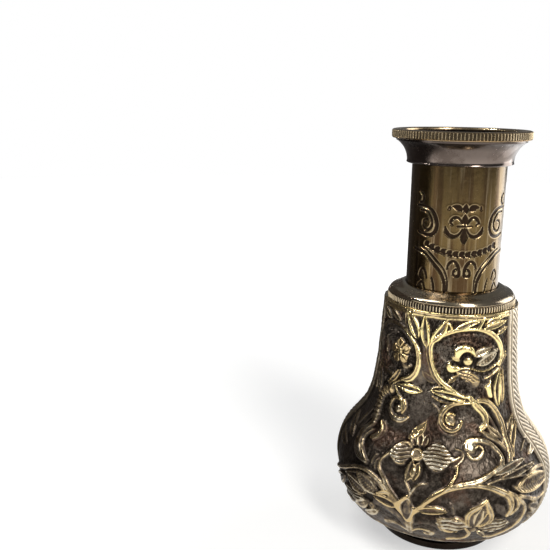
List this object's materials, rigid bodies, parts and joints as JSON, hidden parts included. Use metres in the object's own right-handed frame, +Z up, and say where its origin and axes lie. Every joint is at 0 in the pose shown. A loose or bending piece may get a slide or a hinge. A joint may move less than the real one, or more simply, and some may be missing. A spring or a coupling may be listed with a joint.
{
  "type": "kaleidoscope",
  "caption": "Pocket kaleidoscope: an ornamented bulb with a turning object cell in its foot, and a sliding draw tube with a flared, knurled eyepiece.",
  "frame": {"origin": "centre of the foot's underside, which is the bottom centre of the whole object", "axes": "+Z up along the optical axis, from the foot to the eyepiece; +Y away from the front panel's viewer; +X to that viewer's right"},
  "size_m": [0.0724, 0.0724, 0.138],
  "materials": {
    "cast_brass": "antiqued, rubbed bright on the raised ornament",
    "collar_brass": "polished, lightly tarnished",
    "dark_brass": "dark patina",
    "plain_brass": "turned",
    "tube_brass": "polished and engraved, aged",
    "bell_brass": "dark brown patina, polished",
    "rim_brass": "knurled, brown patina",
    "felt": "pressed felt",
    "steel": "bright",
    "black_card": "matt black",
    "foam": "open-cell foam",
    "mirror": "silvered",
    "frosted_glass": "ground on one side",
    "clear_glass": "polished",
    "lens_glass": "polished",
    "bead_glass": "transparent red",
    "chip_glass": "transparent blue",
    "rod_glass": "transparent green",
    "sequin_foil": "bright foil"
  },
  "bodies": {
    "bulb": {"body_shell": "cast_brass", "neck_collar": "collar_brass", "guide_sleeve": "felt", "sleeve_retainer": "plain_brass", "mirror_flange": "plain_brass", "flange_screws": "steel", "mirror_tube": "black_card", "mirror_packing": "foam", "mirror_mask_lower": "black_card", "mirror_mask_upper": "black_card", "mirror_1": "mirror", "mirror_2": "mirror", "mirror_3": "mirror"},
    "stop": {"stop_ring": "steel"},
    "draw": {"draw_tube": "tube_brass", "eyepiece_bell": "bell_brass", "eyepiece_rim": "rim_brass", "eye_stop": "black_card", "eye_lens": "lens_glass", "lens_retainer": "plain_brass"},
    "cell": {"cell_bezel": "dark_brass", "cell_lock_ring": "plain_brass", "frosted_glass": "frosted_glass", "cell_spacer": "plain_brass", "clear_glass": "clear_glass", "cell_retaining_ring": "plain_brass"},
    "loose_pieces": {"glass_beads": "bead_glass", "glass_chips": "chip_glass", "glass_rods": "rod_glass", "star_sequins": "sequin_foil"}
  },
  "joints": [
    {"name": "draw_slide", "type": "slide", "parent": "bulb", "child": "stop", "axis": [0, 0, 1], "range_m": [-0.039, 0]},
    {"name": "draw_twist", "type": "hinge", "parent": "stop", "child": "draw", "pos_m": [0, 0, 0.0711], "axis": [0, 0, 1], "continuous": true},
    {"name": "cell_turn", "type": "hinge", "parent": "bulb", "child": "cell", "pos_m": [0, 0, 0.004], "axis": [0, 0, 1], "continuous": true},
    {"name": "pieces_tumble", "type": "hinge", "parent": "cell", "child": "loose_pieces", "pos_m": [0, 0, 0.0045], "axis": [0, 0, 1], "continuous": true}
  ]
}
